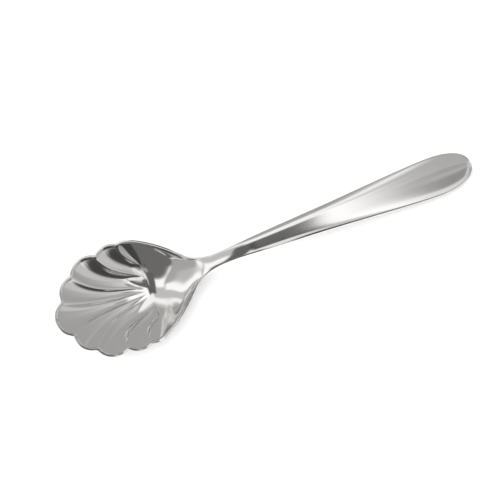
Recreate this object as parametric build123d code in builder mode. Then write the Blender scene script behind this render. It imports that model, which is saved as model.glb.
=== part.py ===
"""Sugar spoon with a fluted shell bowl, stamped from one piece of stainless steel.

The spoon is drawn in the frame of its rim: x runs from the bowl's tip to the handle's end, the rim lies in the
plane z = 0 and the bowl hangs below it. At the end both pieces are laid down together, tipped until the back of
the bowl and the end of the handle touch the table. Lengths are in millimetres, angles in degrees.
"""

import os
from math import atan2, cos, degrees, hypot, pi, sin

from build123d import *

# Driving sizes of the bowl
bowl_width = 32.0
bowl_front = 27.0  # from the tip to the hub, where the flutes meet
bowl_root = 14.0  # from the hub to the rear of the bowl
bowl_tail = 2.7  # how much further the bowl reaches into the neck at the rim
bowl_depth = 7.6  # hollow under the rim
bowl_sheet = 1.1  # metal under the hub
rim_land = 0.9  # metal across the rim

# Driving sizes of the neck
shoulder_lap = 3.0  # how far inside the rear of the bowl the stem starts
shoulder_length = 14.0  # from there to the narrowest section
shoulder_crown = 0.4  # roundness of the stem's top at the shoulder
heel_swell = 1.1  # how far the heel stands out under the shoulder
neck_width = 3.9
neck_thickness = 2.7

# Driving sizes of the handle
overall_length = 126.0
handle_width = 11.4
handle_thickness = 1.8
handle_end_round = 11.5  # length of the rounded end
handle_rise = 6.4  # height of the handle's edges over the rim
rise_lead = 2.0  # the edge line starts to rise this far before the shoulder
rise_run_out = 8.0  # and is level this far past the neck
handle_droop = 1.2  # fall of the handle's end
droop_length = 46.0  # over this length

# Rim outline in front of the hub, as shares of bowl_front and of half the width
lobe_crowns = ((1.0, 0.0), (0.833, 0.564), (0.571, 0.914), (0.272, 0.99))
lobe_notches = ((0.870, 0.325), (0.689, 0.706), (0.370, 0.894), (0.119, 0.956))

# Rim outline behind the hub, as shares of bowl_root, of half the width and of bowl_tail, and the power of the
# level by which it widens or narrows above the rim
rear_points = (
    (0.093, 0.922, 0.0, 1),
    (0.388, 0.776, 0.0, 1),
    (0.679, 0.588, 0.0, 0),
    (0.875, 0.418, 0.0, -1),
    (0.936, 0.281, 0.41, -2),
)

# Levels of the bowl, 1 at the rim, from its floor up and, for the hollow alone, on into the neck
bowl_levels = (0.1, 0.35, 0.6, 0.8, 1.0)
neck_levels = (1.1, 1.2, 1.35, 1.5)
flutes_full = 0.45  # level from which the flutes are fully formed

# Shape of the handle's plan and section
end_squareness = 2.3  # 2 would be an ellipse
end_reach = 0.996  # share of the rounded end before it is cut flat
edge_fullness = 0.65  # power of the handle's section, 1 is an ellipse
section_points = 16

# Places along the spoon, from the tip
hub_at = bowl_front
shoulder_at = hub_at + bowl_root - shoulder_lap
neck_at = shoulder_at + shoulder_length
widest_at = overall_length - handle_end_round
droop_at = overall_length - droop_length

# The stem starts as wide as the rear of the bowl there, and no lower than the floor of the hollow
half_width = bowl_width / 2
shoulder_width = bowl_width * rear_points[3][1]
shoulder_belly = bowl_depth * (1 - ((bowl_root - shoulder_lap) / bowl_root) ** 2)


def blend(value, start, end):
    """Rises smoothly from 0 at start to 1 at end."""
    share = min(max((value - start) / (end - start), 0), 1)
    return share * share * (3 - 2 * share)


def level_point(ahead, aside, level, inset, widening=1):
    """A point of one level of the bowl, from its place beside the hub at the rim."""
    shrink = 1 - inset / hypot(ahead, aside)
    sideways = level if level < 1 else level**widening
    return (hub_at + ahead * shrink * level, aside * shrink * sideways)


def front_point(shares, side, level, inset):
    """A crown or a notch of the flutes, which fade into a plain oval near the floor."""
    oval = 1 / hypot(*shares)
    fade = oval + (1 - oval) * blend(level, bowl_levels[0], flutes_full)
    return level_point(-bowl_front * shares[0] * fade, side * half_width * shares[1] * fade, level, inset)


def rear_point(shares, side, level, inset):
    """A point of the smooth rear of the bowl, which reaches into the neck as it rises."""
    ahead = bowl_root * shares[0] + bowl_tail * shares[2] * level**2
    return level_point(ahead, side * half_width * shares[1], level, inset, shares[3])


def bowl_section(level, depth, inset):
    """The scalloped outline of the bowl at one level, drawn in towards the hub as it goes down."""
    tail = level_point(bowl_root + bowl_tail * level**2, 0, level, inset)
    notches = {side: [front_point(shares, side, level, inset) for shares in lobe_notches] for side in (1, -1)}
    crowns = {side: [front_point(shares, side, level, inset) for shares in lobe_crowns] for side in (1, -1)}
    rears = {side: [rear_point(shares, side, level, inset) for shares in rear_points] for side in (1, -1)}
    with BuildSketch(Plane.XY.offset(-depth * (1 - level**2))) as section:
        with BuildLine():
            ThreePointArc(notches[-1][0], crowns[1][0], notches[1][0])
            for side in (1, -1):
                for near, crown, far in zip(notches[side], crowns[side][1:], notches[side][1:]):
                    ThreePointArc(near, crown, far)
            Spline(notches[1][-1], *rears[1], tail, *reversed(rears[-1]), notches[-1][-1])
        make_face()
    return section.sketch


def stem_half_width(at):
    """Half the width of the stem: shoulder, straight taper of the handle, then its rounded end."""
    taper = neck_width + (handle_width - neck_width) * max(at - neck_at, 0) / (widest_at - neck_at)
    shoulder = (shoulder_width - neck_width) * (1 - min((at - shoulder_at) / shoulder_length, 1)) ** 3
    past = end_reach * max(at - widest_at, 0) / handle_end_round
    rounding = (1 - past**end_squareness) ** (1 / end_squareness)
    return (min(taper, handle_width) + shoulder) * rounding / 2


def stem_edge(at):
    """Height of the stem's edge line over the rim: it climbs from the shoulder and droops at the end."""
    climb = handle_rise * blend(at, shoulder_at - rise_lead, neck_at + rise_run_out)
    return climb - handle_droop * (max(at - droop_at, 0) / droop_length) ** 2


def stem_section(at):
    """A closed oval across the stem, widest at its edge line, crowned above it and bellied below."""
    grown = blend(at, shoulder_at, neck_at)
    flattened = blend(at, neck_at, widest_at)
    half_thickness = (neck_thickness + (handle_thickness - neck_thickness) * flattened) / 2
    crown = shoulder_crown + (half_thickness - shoulder_crown) * grown
    heel = heel_swell * sin(pi * min((at - shoulder_at) / shoulder_length, 1))
    belly = shoulder_belly + (half_thickness - shoulder_belly) * grown + heel
    fullness = 1 - (1 - edge_fullness) * flattened
    points = []
    for step in range(section_points):
        turn = 2 * pi * step / section_points
        across = abs(sin(turn)) ** fullness * (1 if sin(turn) > 0 else -1)
        upward = abs(cos(turn)) ** fullness * (-belly if cos(turn) > 0 else crown)
        points.append((stem_half_width(at) * across, stem_edge(at) + upward))
    with BuildSketch(Plane((at, 0, 0), x_dir=(0, 1, 0), z_dir=(1, 0, 0))) as section:
        with BuildLine():
            Spline(*points, periodic=True)
        make_face()
    return section.sketch


# Stem: one loft from inside the bowl to the handle's end
stem_stations = [shoulder_at + shoulder_length * share for share in (0, 0.22, 0.45, 0.72, 1)]
stem_stations += [neck_at + (widest_at - neck_at) * share for share in (0.15, 0.4, 0.7, 1)]
stem_stations += [widest_at + handle_end_round * share for share in (0.4, 0.65, 0.83, 0.94, 1)]
with BuildPart() as stem:
    loft([stem_section(at) for at in stem_stations])

# Bowl: the outer shell and the stem up to the narrowest section, hollowed out
neck_plane = Plane((neck_at, 0, 0), x_dir=(0, 1, 0), z_dir=(1, 0, 0))
with BuildPart() as hollow:
    loft([bowl_section(level, bowl_depth, rim_land) for level in bowl_levels + neck_levels])
with BuildPart() as bowl_blank:
    add(stem.part)
    split(bisect_by=neck_plane, keep=Keep.BOTTOM)
    loft([bowl_section(level, bowl_depth + bowl_sheet, 0) for level in bowl_levels])
    add(hollow.part, mode=Mode.SUBTRACT)

# Handle: the stem behind the narrowest section
with BuildPart() as handle_blank:
    add(stem.part)
    split(bisect_by=neck_plane, keep=Keep.TOP)


def lowest(blank, tilt):
    """Height of the lowest point of a piece once it is tipped."""
    return (Rot(0, tilt, 0) * blank.part).bounding_box().min.Z


# Rest: the spoon is tipped until both pieces touch the table, with the middle of its box over the origin
rest_tilt = 0
for _ in range(4):
    gap = lowest(handle_blank, rest_tilt) - lowest(bowl_blank, rest_tilt)
    rest_tilt += degrees(atan2(gap, overall_length - hub_at))
box = (Rot(0, rest_tilt, 0) * Compound([bowl_blank.part, handle_blank.part])).bounding_box()
rest = Location((-box.center().X, 0, -box.min.Z), (0, rest_tilt, 0))

with BuildPart() as bowl:
    with Locations(rest):
        add(bowl_blank.part)
bowl.part.label = "bowl"

with BuildPart() as handle:
    with Locations(rest):
        add(handle_blank.part)
handle.part.label = "handle"

os.makedirs("parts", exist_ok=True)
export_step(bowl.part, "parts/bowl.step")
export_step(handle.part, "parts/handle.step")
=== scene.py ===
"""Dresses the sugar spoon: a fluted shell bowl and its handle in polished steel, laid on a pale table.

The spoon is drawn in the frame of its rim, as the solids are: x runs from the tip of the bowl to the end of
the handle, the rim lies at height 0 and the bowl hangs below it. The finished pieces are then laid down on
the table.
"""

import math
from collections import namedtuple

import bmesh
import bpy
import numpy as np
from mathutils import Matrix, Vector


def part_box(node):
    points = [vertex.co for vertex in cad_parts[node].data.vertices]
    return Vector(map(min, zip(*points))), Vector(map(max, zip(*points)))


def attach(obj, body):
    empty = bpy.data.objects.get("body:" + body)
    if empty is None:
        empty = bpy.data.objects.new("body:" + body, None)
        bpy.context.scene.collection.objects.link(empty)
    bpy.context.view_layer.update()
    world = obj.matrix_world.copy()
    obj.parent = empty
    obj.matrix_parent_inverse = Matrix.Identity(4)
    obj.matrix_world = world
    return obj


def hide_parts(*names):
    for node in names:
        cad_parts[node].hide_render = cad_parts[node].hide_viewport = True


bl_info = {
    "name": "Shell sugar spoon",
    "version": (1, 0, 0),
    "blender": (4, 5, 0),
    "location": "3D View > Sidebar > Spoon",
    "description": "Models a shell sugar spoon in polished steel and sets it on a photographer's table",
    "category": "Add Mesh",
}

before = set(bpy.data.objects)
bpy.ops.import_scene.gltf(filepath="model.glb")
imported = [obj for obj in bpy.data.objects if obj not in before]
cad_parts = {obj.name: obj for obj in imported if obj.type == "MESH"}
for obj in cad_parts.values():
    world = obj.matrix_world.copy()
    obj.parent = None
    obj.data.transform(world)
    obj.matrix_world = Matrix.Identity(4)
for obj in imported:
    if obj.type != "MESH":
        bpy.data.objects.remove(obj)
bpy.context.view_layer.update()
BOWL_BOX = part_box("bowl")
MM = 0.001
BODY = "root"
STEEL_SLOT = "polished_steel"

# Crowns and notches of the scalloped rim: shares of the way from the hub to the tip and of half the width
LOBE_CROWNS = ((1.0, 0.0), (0.833, 0.564), (0.571, 0.914), (0.272, 0.99))
LOBE_NOTCHES = ((0.870, 0.325), (0.689, 0.706), (0.370, 0.894), (0.119, 0.956))

# Ribs from the notches down to the floor, first the line to the tip itself: where each one ends beside the
# middle, in millimetres, and how far it bows towards the tip on the way, in degrees
RIB_ENDS = (0.0, 0.0, 0.5, 4.1, 7.3)
RIB_BOWS = (0.0, 3.2, 8.2, 10.3, 9.4)

# Lines of the spoon behind the flutes: places along it and values there, both in millimetres

# Half the width
HALF_WIDTHS = (
    (23.8, 15.3),
    (26.0, 15.5),
    (28.3, 14.75),
    (32.4, 12.42),
    (36.5, 9.3),
    (39.25, 6.65),
    (41.5, 4.42),
    (44.3, 2.9),
    (47.5, 2.13),
    (52.0, 2.0),
    (58.0, 2.26),
    (76.7, 3.35),
    (93.8, 4.55),
    (107.4, 5.44),
    (112.5, 5.66),
    (117.0, 5.7),
    (126.0, 5.7),
)

# Middle of the top over the edge line, and middle of the underside below it
CROWNS = (
    (24.0, 0.4),
    (38.0, 0.4),
    (42.0, 1.0),
    (45.0, 1.42),
    (48.0, 1.43),
    (52.0, 1.39),
    (58.0, 1.37),
    (68.0, 1.36),
    (77.0, 1.33),
    (86.0, 1.22),
    (97.0, 1.05),
    (114.0, 0.9),
    (126.0, 0.9),
)
BELLIES = (
    (24.0, 2.9),
    (38.0, 2.9),
    (42.5, 3.45),
    (45.0, 3.2),
    (48.0, 2.5),
    (52.0, 1.36),
    (60.0, 1.3),
    (85.0, 1.1),
    (114.0, 0.9),
    (126.0, 0.9),
)

# Borders of the rounded edge over and below the edge line, and its width
EDGE_LIFTS = (
    (24.0, -0.09),
    (38.0, -0.09),
    (42.0, 0.45),
    (45.0, 1.05),
    (48.0, 1.2),
    (52.0, 1.18),
    (60.0, 1.08),
    (75.0, 0.92),
    (92.0, 0.6),
    (126.0, 0.45),
)
EDGE_DROPS = ((24.0, 1.2), (36.0, 1.2), (45.0, 1.0), (52.0, 0.62), (85.0, 0.52), (126.0, 0.45))
EDGE_ROUNDS = (
    (24.0, 0.65),
    (38.0, 0.65),
    (46.0, 0.45),
    (52.0, 0.42),
    (64.0, 0.5),
    (85.0, 0.55),
    (126.0, 0.5),
)

# Places along the spoon where its shape changes, from the tip
LINES_START = 24 * MM  # the rim of the flutes keeps the values of the lines here
DISH_FLATTENS = (31 * MM, 39 * MM)  # from a round hollow to a flat one
TRIM_FADES = (37 * MM, 48 * MM)  # from the trimmed rim to the full round edge
DISH_END = 60 * MM  # past here the hollow no longer counts
DROOP_START = 78 * MM

# Shares of the handle's rise, each with the places between which it comes in
EDGE_CLIMBS = ((0.94, 34 * MM, 62 * MM), (0.06, 50 * MM, 90 * MM))

# How flat the middle of a section is, as the power of its curve, and its changes on the way to the end
BOWL_POWER = 4.4
POWER_CHANGES = ((-2.0, 40 * MM, 44 * MM), (0.8, 50 * MM, 62 * MM), (-0.6, 76 * MM, 100 * MM))

# Shape of the stem: its end, its droop, and where the hollow runs out into it above and below
END_SQUARENESS = 2.3
DROOP_POWER = 2.5
TOP_BLEND = 1.0 * MM
UNDER_BLEND = 2.2 * MM
LEAST_SPREAD = 0.4 * MM  # the edge takes its slope from no narrower section

# Flutes: how far out they lie low in the bowl, against a straight line from rib to rib, the levels between
# which they form, and the turns past the last rib, in radians, that the rear and the groove take to settle
LOW_CHORD = 1.04
FLUTES_FORM = (0.02, 0.25)
REAR_LEAD = 0.6
GROOVE_TURN = 0.55

# Trimmed rim: length and end of its land in sizes of its corner, how steeply the land falls outwards, the
# share of the edge's points on it, and how far its step reaches inwards in heights of the step
LAND_LENGTH = 1.2
LAND_END = 2.2
LAND_FALL = 0.22
LAND_SHARE = 0.3
STEP_REACH = 2.5
CURVE_REACH = 0.75  # how far a curve reaches out, of how far its handles do

# Light tent: brightness of its cloth overhead and low down, and the angles between which it fades
TENT_TOP = 1.06
TENT_SIDE = 0.475
TENT_FADES = (14.0, 58.0)
LEAST_SQUARE = 1e-8  # keeps straight overhead from dividing by nothing

# Its cards and gaps: what each is squared up with, its reach along and across that in degrees from
# overhead, the softness of its border and its brightness
TENT_CARDS = (
    ("TABLE", (-130.0, -12.0), (-8.0, 130.0), 4.0, 0.7),
    ("TABLE", (-62.0, 0.0), (25.0, 38.0), 3.0, 1.25),
    ("TABLE", (-100.0, -60.0), (30.0, 46.0), 2.0, 1.25),
    ("TABLE", (-130.0, -8.0), (45.0, 130.0), 3.0, 0.48),
    ("SPOON", (10.2, 40.0), (22.0, 45.0), 1.0, 0.68),
    ("SPOON", (13.2, 40.0), (11.5, 45.0), 1.0, 0.56),
    ("SPOON", (22.0, 46.0), (-48.0, -27.0), 4.0, 0.72),
    ("TABLE", (-130.0, -55.0), (-90.0, -13.0), 1.5, 0.5),
    ("SPOON", (-40.0, 18.0), (-130.0, -46.0), 4.0, 0.07),
    ("TABLE", (-54.0, -8.0), (-100.0, -32.0), 2.0, 0.19),
    ("TABLE", (-24.0, 4.0), (-44.0, 14.0), 1.5, 0.16),
    ("TABLE", (-53.0, -26.0), (-28.0, -6.0), 2.5, 1.35),
    ("TABLE", (-100.0, -56.0), (-13.4, 2.5), 1.7, 1.35),
    ("SPOON", (14.9, 29.0), (-11.0, 11.0), 1.2, 0.36),
    ("SPOON", (16.5, 29.0), (5.4, 8.1), 0.5, 0.66),
    ("SPOON", (1.5, 9.0), (-27.0, 15.0), 0.4, 0.085),
    ("TABLE", (-14.0, 3.0), (19.0, 38.0), 1.5, 1.25),
    ("SPOON", (-4.0, 20.0), (-44.0, -28.0), 1.5, 1.2),
    ("SPOON", (5.5, 10.5), (-48.0, -27.0), 1.0, 0.62),
    ("SPOON", (9.25, 13.6), (-26.0, 20.0), 0.4, 1.6),
)

# Table and the lamp over it
TABLE_LIGHT = 16.0
LAMP_SIZE = 1.6
LAMP_HEIGHT = 1.0
TABLE_REACH = 1.2

# Camera: what it looks at in the frame of the rim, and its sensor
VIEW_CENTRE = (59.0 * MM, -0.1 * MM, 0.0)
SENSOR_WIDTH = 36.0

# How finely the pieces are divided
LOBE_COLUMNS = 26
SHOULDER_COLUMNS = 66
NECK_COLUMNS = 12
INNER_RINGS = 46
EDGE_RINGS = 18
OUTER_RINGS = 34
HANDLE_STATIONS = 130
END_STATIONS = 40
RING_CROWDING = 1.7
STATION_CROWDING = 1.35

# Steps that find a level, small moves that find a slope, and the distances at which corners are merged
DISH_STEPS = 12
FLUTE_STEPS = 14
NUDGE = 0.05 * MM
EDGE_NUDGE = 0.1 * MM
HANDLE_NUDGE = 0.002 * MM
TURN_NUDGE = 0.0005
SEAM_MERGE = 1e-7
MIRROR_MERGE = 2e-7
SLIVER = 1e-8

# A section of the bowl: its place on the outline, the way out from there, where it ends on the floor, how
# far it bows, the straight line across its flute, the heights of the floor and the climb it starts with
Column = namedtuple("Column", "place out end bow chord floor lead", defaults=(1.0, None, 0.0))


class SpoonSizes(bpy.types.PropertyGroup):
    """Sizes of the spoon, from the tip of its bowl."""

    bowl_width: bpy.props.FloatProperty(
        name="Bowl width",
        description="Across the widest lobes of the bowl",
        default=0.032,
        unit="LENGTH",
    )
    hub_at: bpy.props.FloatProperty(
        name="Hub",
        description="From the tip to the hub, where the flutes meet",
        default=0.027,
        unit="LENGTH",
    )
    bowl_depth: bpy.props.FloatProperty(
        name="Bowl depth",
        description="From the rim down to the floor of the hollow",
        default=0.00735,
        unit="LENGTH",
    )
    sheet: bpy.props.FloatProperty(
        name="Sheet",
        description="Thickness of the bowl, measured upright",
        default=0.00105,
        unit="LENGTH",
    )
    ridge_round: bpy.props.FloatProperty(
        name="Ridge rounding",
        description="How far the ridges between the flutes are rounded over at the rim",
        default=0.0008,
        unit="LENGTH",
    )
    flute_gain: bpy.props.FloatProperty(
        name="Flute gain",
        description="How much of their depth the flutes keep on the way down, as a power of the level",
        default=1.0,
        subtype="FACTOR",
    )
    rim_step: bpy.props.FloatProperty(
        name="Rim step",
        description="How much the wall steepens into the rim, over two and a half times its height",
        default=0.00016,
        unit="LENGTH",
    )
    rear_groove: bpy.props.FloatProperty(
        name="Rear groove",
        description="Depth of the shallow groove behind the last rib on either side",
        default=0.0004,
        unit="LENGTH",
    )
    floor_at: bpy.props.FloatProperty(
        name="Floor",
        description="From the tip to the deepest line of the bowl, where the ribs end",
        default=0.0282,
        unit="LENGTH",
    )
    rim_corner: bpy.props.FloatProperty(
        name="Rim corner",
        description="Size of the rounded corner inside the rim",
        default=0.00012,
        unit="LENGTH",
    )
    floor_kink: bpy.props.FloatProperty(
        name="Floor kink",
        description="Share of their climb with which the flutes leave the deepest line",
        default=0.13,
        subtype="FACTOR",
    )
    dish_reach: bpy.props.FloatProperty(
        name="Dish reach",
        description="From the deepest line to the rear of the hollow, low in the bowl",
        default=0.0105,
        unit="LENGTH",
    )
    dish_tail: bpy.props.FloatProperty(
        name="Dish tail",
        description="How much further the hollow reaches into the neck at the rim",
        default=0.002,
        unit="LENGTH",
    )
    neck_at: bpy.props.FloatProperty(
        name="Neck",
        description="From the tip to the narrowest section, where the handle starts",
        default=0.052,
        unit="LENGTH",
    )
    length: bpy.props.FloatProperty(
        name="Length",
        description="From the tip of the bowl to the end of the handle",
        default=0.126,
        unit="LENGTH",
    )
    handle_rise: bpy.props.FloatProperty(
        name="Handle rise",
        description="Height of the handle's edges over the rim",
        default=0.0064,
        unit="LENGTH",
    )
    handle_droop: bpy.props.FloatProperty(
        name="Handle droop",
        description="How far the end of the handle falls again",
        default=0.0012,
        unit="LENGTH",
    )
    end_round: bpy.props.FloatProperty(
        name="End rounding",
        description="Length of the rounded end of the handle",
        default=0.0115,
        unit="LENGTH",
    )
    rest_tilt: bpy.props.FloatProperty(
        name="Rest tilt",
        description="How far the rim is tipped when the spoon lies on the table",
        default=math.radians(7.53085),
        subtype="ANGLE",
    )


class SpoonFinish(bpy.types.PropertyGroup):
    """Finish of the steel."""

    steel: bpy.props.FloatVectorProperty(
        name="Steel",
        description="Colour of the polished steel",
        default=(0.715, 0.715, 0.713),
        size=3,
        min=0.0,
        max=1.0,
        subtype="COLOR",
    )
    roughness: bpy.props.FloatProperty(
        name="Roughness",
        description="Haze of the cleanest polish",
        default=0.05,
        min=0.0,
        max=1.0,
        subtype="FACTOR",
    )
    buffing: bpy.props.FloatProperty(
        name="Buffing",
        description="Depth of the fine lines that the buffing wheel leaves",
        default=0.05,
        min=0.0,
        max=1.0,
        subtype="FACTOR",
    )


class SpoonStudio(bpy.types.PropertyGroup):
    """Table, light and camera."""

    table: bpy.props.FloatVectorProperty(
        name="Table",
        description="Colour of the table",
        default=(0.93, 0.93, 0.93),
        size=3,
        min=0.0,
        max=1.0,
        subtype="COLOR",
    )
    view_turn: bpy.props.FloatProperty(
        name="View turn",
        description="How far the spoon is turned in the picture",
        default=math.radians(20.76),
        subtype="ANGLE",
    )
    view_lean: bpy.props.FloatProperty(
        name="View lean",
        description="How far the camera leans off the rim's own upright",
        default=math.radians(8.0),
        subtype="ANGLE",
    )
    view_distance: bpy.props.FloatProperty(
        name="View distance",
        description="From the camera to the spoon",
        default=0.7,
        unit="LENGTH",
    )
    view_width: bpy.props.FloatProperty(
        name="View width",
        description="Width of the picture at the spoon",
        default=0.142,
        unit="LENGTH",
    )


def ease(value, start, end):
    """Rises from 0 at start to 1 at end without a jump in its curvature."""
    share = min(max((value - start) / (end - start), 0.0), 1.0)
    return share**3 * (share * (6 * share - 15) + 10)


def soft_least(first, second, reach):
    """The lesser of two heights, rounded over where they come within reach of each other."""
    near = max(reach - abs(first - second), 0.0) / reach
    return min(first, second) - near**3 * reach / 6


def soft_most(first, second, reach):
    """The greater of two lengths, rounded over where they come within reach of each other."""
    return -soft_least(-first, -second, reach)


def hollow(share):
    """Profile of the hollow from 0 on the floor to 1 at the rim: round below, flatter towards the rim."""
    return (math.sqrt(1 + share * share) - 1) / (math.sqrt(2) - 1)


def fair_line(stations):
    """A function for the smooth line that a thin batten would take through the stations."""
    places = np.array([place for place, _ in stations]) * MM
    values = np.array([value for _, value in stations]) * MM
    gaps = np.diff(places)
    slopes = np.diff(values) / gaps
    count = len(places)
    system = np.eye(count)
    bends = np.zeros(count)
    for knot in range(1, count - 1):
        system[knot, knot - 1 : knot + 2] = (
            gaps[knot - 1],
            2 * (gaps[knot - 1] + gaps[knot]),
            gaps[knot],
        )
        bends[knot] = 6 * (slopes[knot] - slopes[knot - 1])
    bends = np.linalg.solve(system, bends)

    def line(at):
        knot = int(np.clip(np.searchsorted(places, at) - 1, 0, count - 2))
        gap = gaps[knot]
        ahead = places[knot + 1] - at
        behind = at - places[knot]
        bent = (bends[knot] * ahead**3 + bends[knot + 1] * behind**3) / (6 * gap)
        near = (values[knot] / gap - bends[knot] * gap / 6) * ahead
        far = (values[knot + 1] / gap - bends[knot + 1] * gap / 6) * behind
        return float(bent + near + far)

    return line


crown_line = fair_line(CROWNS)
belly_line = fair_line(BELLIES)
lift_line = fair_line(EDGE_LIFTS)
drop_line = fair_line(EDGE_DROPS)
round_line = fair_line(EDGE_ROUNDS)
width_line = fair_line(HALF_WIDTHS)


def circle_through(first, second, third):
    """Centre and radius of the circle through three points of the plan."""
    chord = second - first
    reach = third - first
    twice = 2 * (chord.x * reach.y - chord.y * reach.x)
    offset = Vector(
        (
            (reach.y * chord.length_squared - chord.y * reach.length_squared) / twice,
            (chord.x * reach.length_squared - reach.x * chord.length_squared) / twice,
        )
    )
    return first + offset, offset.length


def plan_point(sizes, shares):
    """A crown or a notch of the rim, measured from the hub."""
    return Vector((-sizes.hub_at * shares[0], sizes.bowl_width / 2 * shares[1]))


def lobes(sizes):
    """The arcs of the lobes on one side, from the tip back: centre and radius, first and last heading."""
    notches = [plan_point(sizes, shares) for shares in LOBE_NOTCHES]
    crowns = [plan_point(sizes, shares) for shares in LOBE_CROWNS]
    starts = [Vector((notches[0].x, -notches[0].y))] + notches[:-1]
    found = []
    for start, crown, end in zip(starts, crowns, notches):
        centre, radius = circle_through(start, crown, end)
        first = math.atan2(start.y, -start.x)
        last = math.atan2(end.y, -end.x)
        found.append((centre, radius, max(first, 0.0), last))
    return found


def arc_reach(lobe, heading):
    """How far an arc lies from the hub in one direction."""
    centre, radius = lobe[:2]
    along = centre.dot(heading)
    return along + math.sqrt(max(along * along - centre.length_squared + radius * radius, 0.0))


def rim_reach(sizes, arcs, index, heading):
    """How far the scalloped rim lies from the hub in one direction, with the notches a little rounded."""
    reach = arc_reach(arcs[index], heading)
    for other in (index - 1, index + 1):
        if 0 <= other < len(arcs):
            reach = soft_most(reach, arc_reach(arcs[other], heading), sizes.ridge_round)
    return reach


def end_fullness(sizes, at):
    """How full the handle still is: 1 up to its rounded end, then down to 0 along a blunt oval."""
    past = max(at - (sizes.length - sizes.end_round), 0.0) / sizes.end_round
    return (1 - min(past, 1.0) ** END_SQUARENESS) ** (1 / END_SQUARENESS)


def half_width(sizes, at):
    """Half the width of the shoulders, the neck and the handle."""
    return width_line(at) * end_fullness(sizes, at)


def width_slope(sizes, at):
    """How fast half the width grows along the spoon."""
    return (half_width(sizes, at + NUDGE) - half_width(sizes, at - NUDGE)) / (2 * NUDGE)


def changed(value, changes, at):
    """A value with the changes that have come in by some place, each between its start and its end."""
    for amount, start, end in changes:
        value += amount * ease(at, start, end)
    return value


def edge_height(sizes, at):
    """Height of the edge line: level round the rim, up through the neck, then drooping to the end."""
    climb = sizes.handle_rise * changed(0.0, EDGE_CLIMBS, at)
    fall = max(at - DROOP_START, 0.0) / (sizes.length - DROOP_START)
    return climb - sizes.handle_droop * fall**DROOP_POWER


def dish_height(sizes, at):
    """Height of the hollow's floor along the middle, behind the hub and on into the neck."""
    level = 0.5
    for _ in range(DISH_STEPS):
        wanted = sizes.dish_reach * level + sizes.dish_tail * level**3 - (at - sizes.floor_at)
        level -= wanted / (sizes.dish_reach + 3 * sizes.dish_tail * level**2)
    return -sizes.bowl_depth * (1 - hollow(level))


def middle_heights(sizes, at):
    """Heights of the top and of the underside along the middle, behind the hub."""
    edge = edge_height(sizes, at)
    fullness = end_fullness(sizes, at)
    crown = lift_line(at) + (crown_line(at) - lift_line(at)) * fullness
    belly = drop_line(at) + (belly_line(at) - drop_line(at)) * fullness
    top, under = edge + crown, edge - belly
    if at < DISH_END:
        dish = dish_height(sizes, at)
        top = soft_least(dish, top, TOP_BLEND)
        under = soft_least(dish - sizes.sheet, under, UNDER_BLEND)
    return top, under


def shoulder_inset(sizes, at):
    """Half the width between the rounded edges."""
    slope = width_slope(sizes, at)
    return half_width(sizes, at) - round_line(at) * math.sqrt(1 + slope * slope)


def section_power(at):
    """How flat the middle of the section is: most in the rear of the bowl, least in the neck."""
    return changed(BOWL_POWER, POWER_CHANGES, at)


def cross_heights(sizes, at, aside, inset):
    """Heights of the top and of the underside at one place behind the hub."""
    top, under = middle_heights(sizes, at)
    edge = edge_height(sizes, at)
    share = min(abs(aside) / inset, 1.0) if inset > 0 else 0.0
    flat = share ** section_power(at)
    bent = hollow(share) + (flat - hollow(share)) * ease(at, *DISH_FLATTENS)
    return (
        top + (edge + lift_line(at) - top) * bent,
        under + (edge - drop_line(at) - under) * bent,
    )


def flute_heights(sizes, column, share):
    """Heights of the top and of the underside in the flutes, at a share of the way from floor to rim."""
    low = LOW_CHORD * column.chord
    level = share
    for _ in range(FLUTE_STEPS):
        fluted = column.chord + (1 - column.chord) * max(level, FLUTES_FORM[0]) ** -sizes.flute_gain
        level = share / (low + (fluted - low) * ease(level, *FLUTES_FORM))
    rise = level * column.lead + hollow(level) * (1 - column.lead)
    top, under = column.floor
    return top + (lift_line(LINES_START) - top) * rise, under + (-drop_line(LINES_START) - under) * rise


def floor_lead(sizes, end, arm):
    """Heights of the floor where a column ends, and how much of its climb it starts with there."""
    inset = shoulder_inset(sizes, sizes.floor_at)
    floor = cross_heights(sizes, sizes.floor_at, end.y, inset)
    slope = (cross_heights(sizes, sizes.floor_at, end.y + EDGE_NUDGE, inset)[0] - floor[0]) / EDGE_NUDGE
    return floor, max(slope * arm.y / (lift_line(LINES_START) - floor[0]), sizes.floor_kink)


def rim_point(sizes, arcs, index, turn):
    """A point of the scalloped rim, measured from the hub, by its turn from the tip."""
    heading = Vector((-math.cos(turn), math.sin(turn)))
    return heading * rim_reach(sizes, arcs, index, heading)


def between(values, index, share):
    """A value part of the way from one entry of a list to the next."""
    return values[index] * (1 - share) + values[index + 1] * share


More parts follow.
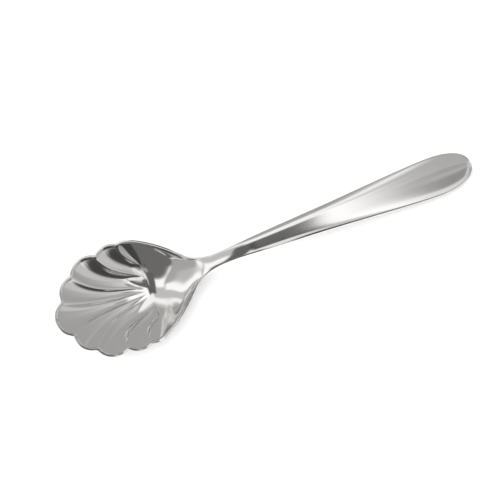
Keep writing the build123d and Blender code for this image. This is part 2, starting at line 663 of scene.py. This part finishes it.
def flute_columns(sizes):
    """The columns of the fluted half, from the tip back."""
    hub = Vector((sizes.hub_at, 0.0))
    arcs = lobes(sizes)
    notches = [hub + plan_point(sizes, shares) for shares in LOBE_NOTCHES]
    corners = [Vector((notches[0].x, -notches[0].y))] + notches
    columns = []
    for index, (_, _, first, last) in enumerate(arcs):
        count = LOBE_COLUMNS // 2 if index == 0 else LOBE_COLUMNS
        across = corners[index + 1] - corners[index]
        for step in range(0 if index == 0 else 1, count + 1):
            share = step / count
            spread = math.sin(share * math.pi / 2) if index == 0 else (1 - math.cos(share * math.pi)) / 2
            turn = first + (last - first) * spread
            reach = rim_point(sizes, arcs, index, turn)
            ahead = rim_point(sizes, arcs, index, turn + TURN_NUDGE)
            run = ahead - rim_point(sizes, arcs, index, turn - TURN_NUDGE)
            out = Vector((-run.y, run.x)).normalized()
            out = out if out.dot(reach) > 0 else -out
            place = hub + reach
            end = Vector((sizes.floor_at, between(RIB_ENDS, index, spread) * MM))
            bow = math.radians(between(RIB_BOWS, index, spread))
            arm = place - end
            chord = across.cross(corners[index] - end) / across.cross(arm)
            floor, lead = floor_lead(sizes, end, arm)
            columns.append(Column(place, out, end, bow, min(chord, 1.0), floor, lead))
    columns[0] = columns[0]._replace(out=Vector((-1.0, 0.0)))
    columns[-1] = columns[-1]._replace(out=(columns[-1].place - hub).normalized())
    return columns


def shoulder_columns(sizes):
    """Outline points of the smooth rear of the bowl and its neck on one side."""
    start = sizes.hub_at * (1 - LOBE_NOTCHES[-1][0])
    columns = []
    for step in range(1, SHOULDER_COLUMNS + 1):
        share = step / SHOULDER_COLUMNS
        at = start + (sizes.neck_at - start) * share
        out = Vector((-width_slope(sizes, at), 1.0)).normalized()
        if step == SHOULDER_COLUMNS:
            out = Vector((0.0, 1.0))
        columns.append((Vector((at, half_width(sizes, at))), out))
    return columns


def bezier(corners, share):
    """A point of the curve that four corners draw."""
    weights = (
        (1 - share) ** 3,
        3 * share * (1 - share) ** 2,
        3 * share**2 * (1 - share),
        share**3,
    )
    return sum((Vector(corner) * weight for corner, weight in zip(corners, weights)), Vector((0.0, 0.0)))


def plain_edge(top, under, top_slope, under_slope, width, share):
    """The full round edge of the neck and the handle: how far out and how high."""
    lead = width / CURVE_REACH
    corners = (
        (0.0, top),
        (lead, top + lead * top_slope),
        (lead, under + lead * under_slope),
        (0.0, under),
    )
    return bezier(corners, share)


def trimmed_edge(sizes, top, under, top_slope, under_slope, width, share):
    """The trimmed rim of the bowl: a small corner inside, a narrow land and a rounded outer edge."""
    corner = sizes.rim_corner
    crest = top + corner * top_slope
    land = (LAND_END * corner, crest - LAND_LENGTH * corner * LAND_FALL)
    if share < LAND_SHARE:
        knee = (corner, crest)
        return bezier(((0.0, top), knee, knee, land), share / LAND_SHARE)
    # Halfway round, an eighth of the land's reach counts towards the width
    lead = (width - land[0] / 8) / CURVE_REACH
    corners = (
        land,
        (lead, land[1] - LAND_FALL * (lead - land[0])),
        (lead, under + lead * under_slope),
        (0.0, under),
    )
    return bezier(corners, (share - LAND_SHARE) / (1 - LAND_SHARE))


def trim(at):
    """How much of the trimmed rim there is: all round the bowl, and none past the neck."""
    return 1 - ease(at, *TRIM_FADES)


def rounded_edge(sizes, place, out, heights, slopes, width, share):
    """A point of the edge between the top and the underside of the sheet."""
    trimmed = trim(place.x)
    found = plain_edge(*heights, *slopes, width, share)
    if trimmed > 0:
        found = found.lerp(trimmed_edge(sizes, *heights, *slopes, width, share), trimmed)
    spot = place + out * found.x
    return Vector((spot.x, spot.y, found.y))


def ring_shares(count):
    """Shares of the way from the hub to the rim, closer together towards the rim."""
    return [1 - (1 - step / count) ** RING_CROWDING for step in range(count + 1)]


def rib_point(end, inset, bow, share):
    """A place on the way from the floor to the rim, which bows towards the tip as the ribs do."""
    return end + Matrix.Rotation(bow * 4 * share * (1 - share), 2) @ (inset - end) * share


def rim_drop(sizes, spot, inward):
    """How far the sheet lies below its plain curve inside the rim, which steepens it at the edge."""
    near = max(1 - inward / (STEP_REACH * sizes.rim_step), 0.0)
    return sizes.rim_step * (1 - near * near) * trim(spot.x)


def groove_drop(sizes, turned, share):
    """Depth of the groove behind the last rib, by the turn past it and the share of the way to the rim."""
    past = min(turned / GROOVE_TURN, 1.0)
    # The factors 6.75 and 4 bring the highest place of either curve to 1
    return sizes.rear_groove * 6.75 * past * (1 - past) ** 2 * 4 * share * (1 - share)


def bowl_column(sizes, column, width, heights, closed=False):
    """The points of one section of the bowl: up the inside from the floor, round the rim, back outside."""
    inset = column.place if closed else column.place - column.out * width
    inner = []
    outer = []
    for shares, found, side in (
        (ring_shares(INNER_RINGS), inner, 0),
        (ring_shares(OUTER_RINGS), outer, 1),
    ):
        for share in shares:
            spot = rib_point(column.end, inset, column.bow, share)
            inward = (1 - share) * (inset - column.end).length if not closed else 1.0
            height = heights(spot, share)[side] - rim_drop(sizes, spot, inward)
            found.append(Vector((spot.x, spot.y, height)))
    top, under = inner[-1], outer[-1]
    if closed:
        edge = [top.lerp(under, ring / EDGE_RINGS) for ring in range(1, EDGE_RINGS)]
        return inner + edge + outer[::-1]
    step = EDGE_NUDGE
    before = heights(inset - column.out * step, 1 - step / (inset - column.end).length)
    drop = rim_drop(sizes, inset, step)
    slopes = ((top.z - before[0] + drop) / step, (under.z - before[1] + drop) / step)
    edge = [
        rounded_edge(sizes, inset, column.out, (top.z, under.z), slopes, width, ring / EDGE_RINGS)
        for ring in range(1, EDGE_RINGS)
    ]
    return inner + edge + outer[::-1]


def bowl_columns(sizes):
    """The sections of one half of the bowl, from its tip to the middle of the neck."""
    width = round_line(LINES_START)
    flutes = flute_columns(sizes)
    sections = []
    for column in flutes:

        def fluted(spot, share, column=column):
            return flute_heights(sizes, column, share)

        sections.append(bowl_column(sizes, column, width, fluted))
    last = flutes[-1]
    last_inset = last.place - last.out * width

    def rear_heights(spot, share, lead=0.0):
        """The smooth rear, led into the last rib."""
        at = max(spot.x, LINES_START)
        top, under = cross_heights(sizes, at, spot.y, shoulder_inset(sizes, at))
        if lead > 0:
            ridge = rib_point(last.end, last_inset, last.bow, share)
            at = max(ridge.x, LINES_START)
            plain = cross_heights(sizes, at, ridge.y, shoulder_inset(sizes, at))
            ribbed = flute_heights(sizes, last, share)
            top += (ribbed[0] - plain[0]) * lead
            under += (ribbed[1] - plain[1]) * lead
        return top, under

    ends = [column.end for column in reversed(flutes[LOBE_COLUMNS // 2 :])]
    rear = shoulder_columns(sizes)
    last_turn = math.atan2(last.place.y, last.place.x - sizes.hub_at)
    for (place, out), end in zip(rear, ends[1:]):
        turned = last_turn - math.atan2(place.y, place.x - sizes.hub_at)
        lead = 1 - ease(turned, 0.0, REAR_LEAD)
        column = Column(place, out, end, last.bow * lead)

        def heights(spot, share, lead=lead, turned=turned):
            top, under = rear_heights(spot, share, lead)
            drop = groove_drop(sizes, turned, share)
            return top - drop, under - drop

        sections.append(bowl_column(sizes, column, round_line(place.x), heights))
    neck_inset = half_width(sizes, sizes.neck_at) - round_line(sizes.neck_at)
    for step, end in enumerate(ends[1 + len(rear) :], 1):
        place = Vector((sizes.neck_at, neck_inset * (1 - step / NECK_COLUMNS)))
        column = Column(place, Vector((1.0, 0.0)), end, 0.0)
        sections.append(bowl_column(sizes, column, 0.0, rear_heights, True))
    return sections


def handle_sections(sizes):
    """The half sections of the handle, from the neck to its end, each from the top to the underside."""
    places = []
    body = sizes.length - sizes.end_round
    for step in range(HANDLE_STATIONS):
        share = step / HANDLE_STATIONS
        places.append(sizes.neck_at + (body - sizes.neck_at) * share**STATION_CROWDING)
    for step in range(END_STATIONS + 1):
        places.append(body + sizes.end_round * math.sin(step / END_STATIONS * math.pi / 2))
    sections = []
    for at in places:
        ahead = min(at + HANDLE_NUDGE, sizes.length)
        narrowing = half_width(sizes, at - HANDLE_NUDGE) - half_width(sizes, ahead)
        out = Vector((narrowing, ahead - at + HANDLE_NUDGE)).normalized()
        if at == sizes.neck_at:
            out = Vector((0.0, 1.0))
        if at == places[-1]:
            out = Vector((1.0, 0.0))
        width = round_line(at)
        inset = Vector((at, half_width(sizes, at))) - out * width
        sections.append(handle_section(sizes, inset.x, max(inset.y, 0.0), out, width))
    return sections


def handle_section(sizes, at, spread, out, width):
    """One half section of the handle."""
    tops = []
    unders = []
    for step in range(NECK_COLUMNS + 1):
        aside = spread * step / NECK_COLUMNS
        top, under = cross_heights(sizes, at, aside, spread)
        tops.append(Vector((at, aside, top)))
        unders.append(Vector((at, aside, under)))
    top, under = tops[-1], unders[-1]
    power = section_power(at)
    middle = cross_heights(sizes, at, 0.0, spread)
    wide = max(spread, LEAST_SPREAD)
    heights = (top.z, under.z)
    slopes = (power * (top.z - middle[0]) / wide, power * (under.z - middle[1]) / wide)
    edge = [
        rounded_edge(sizes, Vector((at, spread)), out, heights, slopes, width, step / EDGE_RINGS)
        for step in range(1, EDGE_RINGS)
    ]
    return tops + edge + unders[::-1]


def half_mesh(sections):
    """A grid whose columns are the given sections."""
    work = bmesh.new()
    across = len(sections[0])
    bmesh.ops.create_grid(work, x_segments=len(sections) - 1, y_segments=across - 1, size=1.0)
    for corner in work.verts:
        column = round((corner.co.x + 1) / 2 * (len(sections) - 1))
        row = round((corner.co.y + 1) / 2 * (across - 1))
        corner.co = sections[column][row]
    return work


def whole_mesh(work):
    """The half and its mirror image, joined, closed and smooth."""
    bmesh.ops.remove_doubles(work, verts=work.verts, dist=SEAM_MERGE)
    geometry = work.verts[:] + work.edges[:] + work.faces[:]
    bmesh.ops.mirror(work, geom=geometry, matrix=Matrix.Identity(4), merge_dist=-1, axis="Y")
    bmesh.ops.remove_doubles(work, verts=work.verts, dist=MIRROR_MERGE)
    bmesh.ops.dissolve_degenerate(work, edges=work.edges, dist=SLIVER)
    bmesh.ops.recalc_face_normals(work, faces=work.faces)


def sharpen_cut(work, at):
    """Keeps the flat cut across the neck flat and its border crisp."""
    cut = {face for face in work.faces if all(abs(corner.co.x - at) < SEAM_MERGE for corner in face.verts)}
    for face in work.faces:
        face.smooth = face not in cut
    for edge in work.edges:
        if len([face for face in edge.link_faces if face in cut]) == 1:
            edge.smooth = False


def lay_down(sizes):
    """The move from the frame of the rim to the spoon lying on the table."""
    tip = Vector((BOWL_BOX[0].x, 0.0, BOWL_BOX[1].z))
    return Matrix.Translation(tip) @ Matrix.Rotation(sizes.rest_tilt, 4, "Y")


def check_closed(work, name):
    """Stops if a piece has an open seam or one that more than two faces share."""
    if any(len(edge.link_faces) != 2 for edge in work.edges):
        raise RuntimeError(name + " is not closed")


def node_at(tree, kind, place, inputs=None, **settings):
    """A shader node with its settings and the values of its inputs."""
    node = tree.nodes.new(kind)
    node.location = place
    for key, value in settings.items():
        setattr(node, key, value)
    for key, value in (inputs or {}).items():
        node.inputs[key].default_value = value
    return node


def polished_steel(finish):
    """Buffed stainless steel: faint haze and smears, fine lines along the spoon and a soft ripple."""
    material = bpy.data.materials.get(STEEL_SLOT)
    if material:
        return material
    material = bpy.data.materials.new(STEEL_SLOT)
    material.use_nodes = True
    tree = material.node_tree
    tree.nodes.clear()
    output = node_at(tree, "ShaderNodeOutputMaterial", (900, 0))
    shader = node_at(tree, "ShaderNodeBsdfPrincipled", (600, 0), {"Metallic": 1.0})
    coords = node_at(tree, "ShaderNodeTexCoord", (-1100, 0))

    smears = node_at(tree, "ShaderNodeTexNoise", (-600, 200), {"Scale": 90.0, "Detail": 5.0})
    hazes = {
        "From Min": 0.35,
        "From Max": 0.75,
        "To Min": finish.roughness,
        "To Max": finish.roughness * 1.9,
    }
    haze = node_at(tree, "ShaderNodeMapRange", (-300, 200), hazes)
    tone = node_at(tree, "ShaderNodeMapRange", (-300, 450), {"From Min": 0.3, "From Max": 0.7})
    tints = {
        "A": (*finish.steel, 1.0),
        "B": (*(0.94 * part for part in finish.steel), 1.0),
    }
    tint = node_at(tree, "ShaderNodeMix", (0, 450), tints, data_type="RGBA")

    lines_map = node_at(tree, "ShaderNodeMapping", (-850, -250), {"Scale": (60.0, 2600.0, 2600.0)})
    lines = node_at(tree, "ShaderNodeTexNoise", (-600, -250), {"Scale": 1.0, "Detail": 2.0})
    ripple = node_at(tree, "ShaderNodeTexNoise", (-600, -500), {"Scale": 140.0, "Detail": 1.0})
    depths = {"Strength": finish.buffing, "Distance": 0.02 * MM}
    buffing = node_at(tree, "ShaderNodeBump", (0, -250), depths)
    pressing = node_at(tree, "ShaderNodeBump", (300, -250), {"Strength": 0.12, "Distance": 0.1 * MM})

    links = tree.links
    links.new(coords.outputs["Object"], smears.inputs["Vector"])
    links.new(coords.outputs["Object"], ripple.inputs["Vector"])
    links.new(coords.outputs["Object"], lines_map.inputs["Vector"])
    links.new(lines_map.outputs["Vector"], lines.inputs["Vector"])
    links.new(smears.outputs["Fac"], haze.inputs["Value"])
    links.new(smears.outputs["Fac"], tone.inputs["Value"])
    links.new(tone.outputs["Result"], tint.inputs["Factor"])
    links.new(tint.outputs["Result"], shader.inputs["Base Color"])
    links.new(haze.outputs["Result"], shader.inputs["Roughness"])
    links.new(lines.outputs["Fac"], buffing.inputs["Height"])
    links.new(ripple.outputs["Fac"], pressing.inputs["Height"])
    links.new(buffing.outputs["Normal"], pressing.inputs["Normal"])
    links.new(pressing.outputs["Normal"], shader.inputs["Normal"])
    links.new(shader.outputs["BSDF"], output.inputs["Surface"])
    return material


def make_piece(context, sections, name, node):
    """Turns the sections of one half into a piece that lies on the table and stands for its solid."""
    sizes = context.scene.spoon_sizes
    work = half_mesh(sections)
    whole_mesh(work)
    sharpen_cut(work, sizes.neck_at)
    check_closed(work, name)
    bmesh.ops.transform(work, matrix=lay_down(sizes), verts=work.verts)
    mesh = bpy.data.meshes.new(name)
    work.to_mesh(mesh)
    work.free()
    mesh.materials.append(polished_steel(context.scene.spoon_finish))
    piece = bpy.data.objects.new(name, mesh)
    context.scene.collection.objects.link(piece)
    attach(piece, BODY)
    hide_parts(node)


class SPOON_OT_bowl(bpy.types.Operator):
    """Models the fluted shell bowl with its shoulders and the root of the neck."""

    bl_idname = "spoon.bowl"
    bl_label = "Shell bowl"

    def execute(self, context):
        make_piece(context, bowl_columns(context.scene.spoon_sizes), "shell_bowl", "bowl")
        return {"FINISHED"}


class SPOON_OT_handle(bpy.types.Operator):
    """Models the handle from the neck to its rounded end."""

    bl_idname = "spoon.handle"
    bl_label = "Handle"

    def execute(self, context):
        sections = handle_sections(context.scene.spoon_sizes)
        flat = [
            Vector((over.x, over.y, (over.z + below.z) / 2))
            for over, below in zip(sections[0], reversed(sections[0]))
        ]
        make_piece(context, [flat] + sections, "tapered_handle", "handle")
        return {"FINISHED"}


def set_camera(context, sizes, studio):
    """Looks down on the rim, leaning a little to the side, with the spoon turned in the picture."""
    camera = bpy.data.objects.new("camera", bpy.data.cameras.new("camera"))
    context.scene.collection.objects.link(camera)
    backward = Vector((0.0, -math.sin(studio.view_lean), math.cos(studio.view_lean)))
    lengthwise = Vector((1.0, 0.0, 0.0))
    crosswise = backward.cross(lengthwise)
    right = lengthwise * math.cos(studio.view_turn) - crosswise * math.sin(studio.view_turn)
    upward = lengthwise * math.sin(studio.view_turn) + crosswise * math.cos(studio.view_turn)
    pose = Matrix((right, upward, backward)).transposed().to_4x4()
    pose.translation = Vector(VIEW_CENTRE) + backward * studio.view_distance
    camera.matrix_world = lay_down(sizes) @ pose
    camera.data.sensor_width = SENSOR_WIDTH
    camera.data.lens = SENSOR_WIDTH * studio.view_distance / studio.view_width
    camera.data.clip_start = 0.01
    camera.data.clip_end = 20.0
    context.scene.camera = camera


def math_node(tree, operation, place, *values):
    """A number node, its inputs given as values or as sockets."""
    node = node_at(tree, "ShaderNodeMath", place, operation=operation)
    for socket, value in zip(node.inputs, values):
        if isinstance(value, bpy.types.NodeSocket):
            tree.links.new(value, socket)
        else:
            socket.default_value = value
    return node.outputs["Value"]


def ramp_node(tree, value, place, start, end, low, high):
    """A smooth step from low at start to high at end."""
    steps = {"From Min": start, "From Max": end, "To Min": low, "To Max": high}
    node = node_at(tree, "ShaderNodeMapRange", place, steps, interpolation_type="SMOOTHSTEP")
    tree.links.new(value, node.inputs["Value"])
    return node.outputs["Result"]


def turned_lines(tree, lengthwise, crosswise, turn, place):
    """The two distances from overhead, turned by an angle."""
    across, down = place
    cosine, sine = math.cos(turn), math.sin(turn)
    ahead = math_node(tree, "MULTIPLY", (across, down), lengthwise, cosine)
    aside = math_node(tree, "MULTIPLY", (across, down - 150), crosswise, sine)
    back = math_node(tree, "MULTIPLY", (across, down - 300), lengthwise, sine)
    over = math_node(tree, "MULTIPLY", (across, down - 450), crosswise, cosine)
    first = math_node(tree, "SUBTRACT", (across + 200, down), ahead, aside)
    return first, math_node(tree, "ADD", (across + 200, down - 300), back, over)


def tent_sky(tree, turn):
    """Brightness of the tent in every direction: its cloth, then its cards and gaps one over the other."""
    coords = node_at(tree, "ShaderNodeTexCoord", (-2200, 0))
    parts = node_at(tree, "ShaderNodeSeparateXYZ", (-2000, 0))
    tree.links.new(coords.outputs["Generated"], parts.inputs["Vector"])
    fall = math_node(tree, "ARCCOSINE", (-1800, 200), parts.outputs["Z"])
    angle = math_node(tree, "DEGREES", (-1600, 200), fall)
    squares = [math_node(tree, "POWER", (-1800, -100 * k), parts.outputs[k], 2.0) for k in (0, 1)]
    spread = math_node(tree, "ADD", (-1600, -100), *squares)
    spread = math_node(tree, "MAXIMUM", (-1500, -100), spread, LEAST_SQUARE)
    flat = math_node(tree, "SQRT", (-1400, -100), spread)
    stretch = math_node(tree, "DIVIDE", (-1200, 0), angle, flat)
    lengthwise = math_node(tree, "MULTIPLY", (-1000, 100), stretch, parts.outputs["X"])
    crosswise = math_node(tree, "MULTIPLY", (-1000, -100), stretch, parts.outputs["Y"])
    lines = {
        "SPOON": (lengthwise, crosswise),
        "TABLE": turned_lines(tree, lengthwise, crosswise, turn, (-1000, -700)),
    }
    bright = ramp_node(tree, angle, (-800, 300), *TENT_FADES, TENT_TOP, TENT_SIDE)
    for index, (square, lengths, widths, soft, level) in enumerate(TENT_CARDS):
        masks = []
        for line, (start, end) in zip(lines[square], (lengths, widths)):
            place = (-600 + 200 * index, -300 - 150 * len(masks))
            masks.append(ramp_node(tree, line, place, start - soft, start + soft, 0.0, 1.0))
            masks.append(ramp_node(tree, line, place, end - soft, end + soft, 1.0, 0.0))
        pair = math_node(tree, "MULTIPLY", (-400 + 200 * index, -300), masks[0], masks[1])
        other = math_node(tree, "MULTIPLY", (-400 + 200 * index, -500), masks[2], masks[3])
        mask = math_node(tree, "MULTIPLY", (-200 + 200 * index, -400), pair, other)
        mix = node_at(tree, "ShaderNodeMix", (200 * index, 0), {"B": level}, data_type="FLOAT")
        tree.links.new(mask, mix.inputs["Factor"])
        tree.links.new(bright, mix.inputs["A"])
        bright = mix.outputs["Result"]
    return bright


def set_light(context, studio):
    """A tent round the table, a white backdrop behind it, and a soft light from above for the table."""
    world = bpy.data.worlds.new("light_tent")
    context.scene.world = world
    world.use_nodes = True
    tree = world.node_tree
    tree.nodes.clear()
    output = node_at(tree, "ShaderNodeOutputWorld", (3000, 0))
    white = {"Color": (1.0, 1.0, 1.0, 1.0)}
    tent = node_at(tree, "ShaderNodeBackground", (2600, 0), white)
    backdrop = node_at(tree, "ShaderNodeBackground", (2600, -200), white)
    either = node_at(tree, "ShaderNodeMixShader", (2800, 0))
    path = node_at(tree, "ShaderNodeLightPath", (2600, 400))
    tree.links.new(tent_sky(tree, studio.view_turn), tent.inputs["Strength"])
    tree.links.new(path.outputs["Is Camera Ray"], either.inputs[0])
    tree.links.new(tent.outputs["Background"], either.inputs[1])
    tree.links.new(backdrop.outputs["Background"], either.inputs[2])
    tree.links.new(either.outputs["Shader"], output.inputs["Surface"])
    lamp = bpy.data.lights.new("table_light", "AREA")
    lamp.shape = "DISK"
    lamp.size = LAMP_SIZE
    lamp.energy = TABLE_LIGHT
    light = bpy.data.objects.new("table_light", lamp)
    light.location = (0.0, 0.0, LAMP_HEIGHT)
    light.visible_glossy = False
    context.scene.collection.objects.link(light)


class SPOON_OT_stage(bpy.types.Operator):
    """Sets up the pale table, the soft light and the camera."""

    bl_idname = "spoon.stage"
    bl_label = "Table, light and camera"

    def execute(self, context):
        sizes = context.scene.spoon_sizes
        studio = context.scene.spoon_studio
        work = bmesh.new()
        bmesh.ops.create_grid(work, x_segments=8, y_segments=8, size=TABLE_REACH)
        mesh = bpy.data.meshes.new("table")
        work.to_mesh(mesh)
        work.free()
        table = bpy.data.objects.new("table", mesh)
        context.scene.collection.objects.link(table)
        paper = bpy.data.materials.new("white_paper")
        paper.use_nodes = True
        shader = paper.node_tree.nodes["Principled BSDF"]
        shader.inputs["Base Color"].default_value = (*studio.table, 1.0)
        shader.inputs["Roughness"].default_value = 0.9
        mesh.materials.append(paper)
        set_light(context, studio)
        set_camera(context, sizes, studio)
        context.scene.view_settings.view_transform = "Standard"
        return {"FINISHED"}


class VIEW3D_PT_spoon(bpy.types.Panel):
    """Lists the steps that make the spoon."""

    bl_label = "Shell sugar spoon"
    bl_idname = "VIEW3D_PT_spoon"
    bl_space_type = "VIEW_3D"
    bl_region_type = "UI"
    bl_category = "Spoon"

    def draw(self, context):
        for operator in OPERATORS:
            self.layout.operator(operator.bl_idname)
        for group in GROUPS:
            settings = getattr(context.scene, group)
            column = self.layout.column()
            for name in settings.__annotations__:
                column.prop(settings, name)


GROUPS = {"spoon_sizes": SpoonSizes, "spoon_finish": SpoonFinish, "spoon_studio": SpoonStudio}
OPERATORS = (SPOON_OT_bowl, SPOON_OT_handle, SPOON_OT_stage)


def register():
    for kind in (*GROUPS.values(), *OPERATORS, VIEW3D_PT_spoon):
        bpy.utils.register_class(kind)
    for name, kind in GROUPS.items():
        setattr(bpy.types.Scene, name, bpy.props.PointerProperty(type=kind))


def unregister():
    for name in GROUPS:
        delattr(bpy.types.Scene, name)
    for kind in (VIEW3D_PT_spoon, *reversed(OPERATORS), *reversed(GROUPS.values())):
        bpy.utils.unregister_class(kind)


def main():
    register()
    bpy.ops.spoon.bowl()
    bpy.ops.spoon.handle()
    bpy.ops.spoon.stage()
    bpy.context.view_layer.update()


if __name__ == "__main__":
    main()
